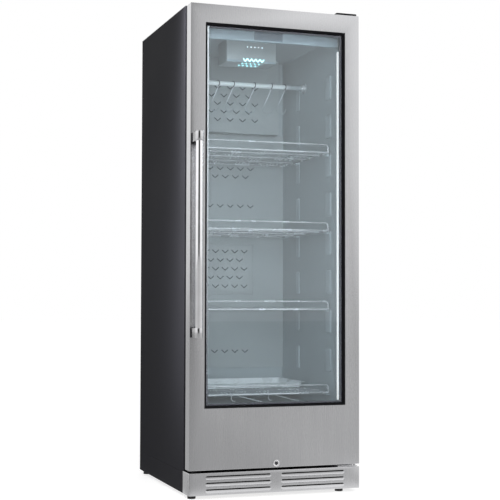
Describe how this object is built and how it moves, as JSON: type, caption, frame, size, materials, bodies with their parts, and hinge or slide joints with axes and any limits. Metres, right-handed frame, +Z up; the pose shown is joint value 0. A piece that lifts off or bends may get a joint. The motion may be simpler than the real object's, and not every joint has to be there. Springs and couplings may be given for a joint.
{
  "type": "dry aging cabinet",
  "caption": "Tall free-standing dry aging cabinet with a glazed steel door, bar handle, wire shelves, hanging rail with hooks, tray and louvred kick plate.",
  "frame": {"origin": "on the floor, under the middle of the whole cabinet with its handle", "axes": "+X to the viewer's right as one faces the door, +Y into the cabinet, +Z up; the door faces -Y"},
  "size_m": [0.595, 0.7344, 1.6205],
  "materials": {
    "black_painted_steel": "satin",
    "brushed_steel": "brushed",
    "bright_steel": "polished",
    "plated_steel": "satin",
    "grey_liner": "satin",
    "grey_sheet": "satin",
    "black_plastic": "satin",
    "black_rubber": "matte",
    "rigid_foam": "matte",
    "tinted_glass": "gloss",
    "white_diffuser": "satin",
    "pale_plastic": "satin",
    "dark_window": "gloss",
    "fin_aluminium": "satin",
    "spacer_aluminium": "satin"
  },
  "bodies": {
    "cabinet": {"outer_shell": "black_painted_steel", "back_panel": "black_painted_steel", "compartment_cover": "black_painted_steel", "power_inlet": "black_plastic", "insulation_foam": "rigid_foam", "front_frame": "grey_liner", "inner_liner": "grey_liner", "base_chassis": "black_painted_steel", "kick_plate": "brushed_steel", "top_hinge_plate": "plated_steel", "top_hinge_cover": "black_plastic", "bottom_hinge_bracket": "plated_steel", "evaporator_cover": "grey_sheet", "rear_air_panel": "grey_sheet", "filter_cover": "grey_sheet", "control_panel": "pale_plastic", "display_window": "dark_window", "lamp_housing": "grey_sheet", "air_lamp": "white_diffuser", "hanging_rail": "bright_steel", "compressor": "black_painted_steel", "drip_tray": "black_plastic", "light_strip_left": "white_diffuser", "light_strip_right": "white_diffuser", "rail_bracket_left": "plated_steel", "rail_bracket_right": "plated_steel", "evaporator_coil": "fin_aluminium", "condenser_coil": "fin_aluminium", "evaporator_fan_frame": "black_plastic", "condenser_fan_frame": "black_plastic", "spare_hook_1": "bright_steel", "spare_hook_2": "bright_steel"},
    "door": {"door_skin": "brushed_steel", "door_core": "rigid_foam", "glazing_frame": "black_plastic", "outer_glass": "tinted_glass", "inner_glass": "tinted_glass", "glass_spacer": "spacer_aluminium", "door_gasket": "black_rubber", "handle_bar": "bright_steel", "handle_post_lower": "bright_steel", "handle_post_upper": "bright_steel", "lock_ring": "bright_steel"},
    "lock": {"lock_cylinder": "plated_steel"},
    "salt_tray": {"salt_tray": "bright_steel"},
    "evaporator_fan": {"evaporator_fan_wheel": "pale_plastic"},
    "condenser_fan": {"condenser_fan_wheel": "pale_plastic"},
    "shelf_1": {"shelf_1": "plated_steel"},
    "shelf_2": {"shelf_2": "plated_steel"},
    "shelf_3": {"shelf_3": "plated_steel"},
    "shelf_4": {"shelf_4": "plated_steel"},
    "hook_1": {"hook_1": "bright_steel"},
    "hook_2": {"hook_2": "bright_steel"},
    "hook_3": {"hook_3": "bright_steel"},
    "hook_4": {"hook_4": "bright_steel"},
    "hook_5": {"hook_5": "bright_steel"},
    "foot_front_left": {"leveling_foot_front_left": "black_rubber"},
    "foot_front_right": {"leveling_foot_front_right": "black_rubber"},
    "foot_rear_left": {"leveling_foot_rear_left": "black_rubber"},
    "foot_rear_right": {"leveling_foot_rear_right": "black_rubber"}
  },
  "joints": [
    {"name": "door_hinge", "type": "hinge", "parent": "cabinet", "child": "door", "pos_m": [0.289, -0.2708, 0.85], "axis": [0, 0, 1], "range_deg": [0, 110]},
    {"name": "lock_turn", "type": "hinge", "parent": "door", "child": "lock", "pos_m": [0, -0.2933, 0.1065], "axis": [0, 1, 0], "range_deg": [0, 90]},
    {"name": "shelf_1_slide", "type": "slide", "parent": "cabinet", "child": "shelf_1", "axis": [0, -1, 0], "range_m": [0, 0.07]},
    {"name": "shelf_2_slide", "type": "slide", "parent": "cabinet", "child": "shelf_2", "axis": [0, -1, 0], "range_m": [0, 0.07]},
    {"name": "shelf_3_slide", "type": "slide", "parent": "cabinet", "child": "shelf_3", "axis": [0, -1, 0], "range_m": [0, 0.07]},
    {"name": "shelf_4_slide", "type": "slide", "parent": "cabinet", "child": "shelf_4", "axis": [0, -1, 0], "range_m": [0, 0.07]},
    {"name": "salt_tray_slide", "type": "slide", "parent": "shelf_4", "child": "salt_tray", "axis": [0, -1, 0], "range_m": [0, 0.16]},
    {"name": "hook_1_swing", "type": "hinge", "parent": "cabinet", "child": "hook_1", "pos_m": [-0.082, 0.1067, 1.4235], "axis": [1, 0, 0], "range_deg": [-40, 40]},
    {"name": "hook_2_swing", "type": "hinge", "parent": "cabinet", "child": "hook_2", "pos_m": [-0.024, 0.1067, 1.4235], "axis": [1, 0, 0], "range_deg": [-40, 40]},
    {"name": "hook_3_swing", "type": "hinge", "parent": "cabinet", "child": "hook_3", "pos_m": [0.059, 0.1067, 1.4235], "axis": [1, 0, 0], "range_deg": [-40, 40]},
    {"name": "hook_4_swing", "type": "hinge", "parent": "cabinet", "child": "hook_4", "pos_m": [0.127, 0.1067, 1.4235], "axis": [1, 0, 0], "range_deg": [-40, 40]},
    {"name": "hook_5_swing", "type": "hinge", "parent": "cabinet", "child": "hook_5", "pos_m": [0.176, 0.1067, 1.4235], "axis": [1, 0, 0], "range_deg": [-40, 40]},
    {"name": "foot_front_left_turn", "type": "hinge", "parent": "cabinet", "child": "foot_front_left", "pos_m": [-0.279, -0.2593, 0.006], "axis": [0, 0, 1], "continuous": true},
    {"name": "foot_front_right_turn", "type": "hinge", "parent": "cabinet", "child": "foot_front_right", "pos_m": [0.237, -0.2593, 0.006], "axis": [0, 0, 1], "continuous": true},
    {"name": "foot_rear_left_turn", "type": "hinge", "parent": "cabinet", "child": "foot_rear_left", "pos_m": [-0.279, 0.3267, 0.006], "axis": [0, 0, 1], "continuous": true},
    {"name": "foot_rear_right_turn", "type": "hinge", "parent": "cabinet", "child": "foot_rear_right", "pos_m": [0.237, 0.3267, 0.006], "axis": [0, 0, 1], "continuous": true},
    {"name": "evaporator_fan_spin", "type": "hinge", "parent": "cabinet", "child": "evaporator_fan", "pos_m": [0.13, 0.3022, 1.385], "axis": [0, 1, 0], "continuous": true},
    {"name": "condenser_fan_spin", "type": "hinge", "parent": "cabinet", "child": "condenser_fan", "pos_m": [-0.13, -0.1293, 0.0986], "axis": [0, 1, 0], "continuous": true}
  ]
}
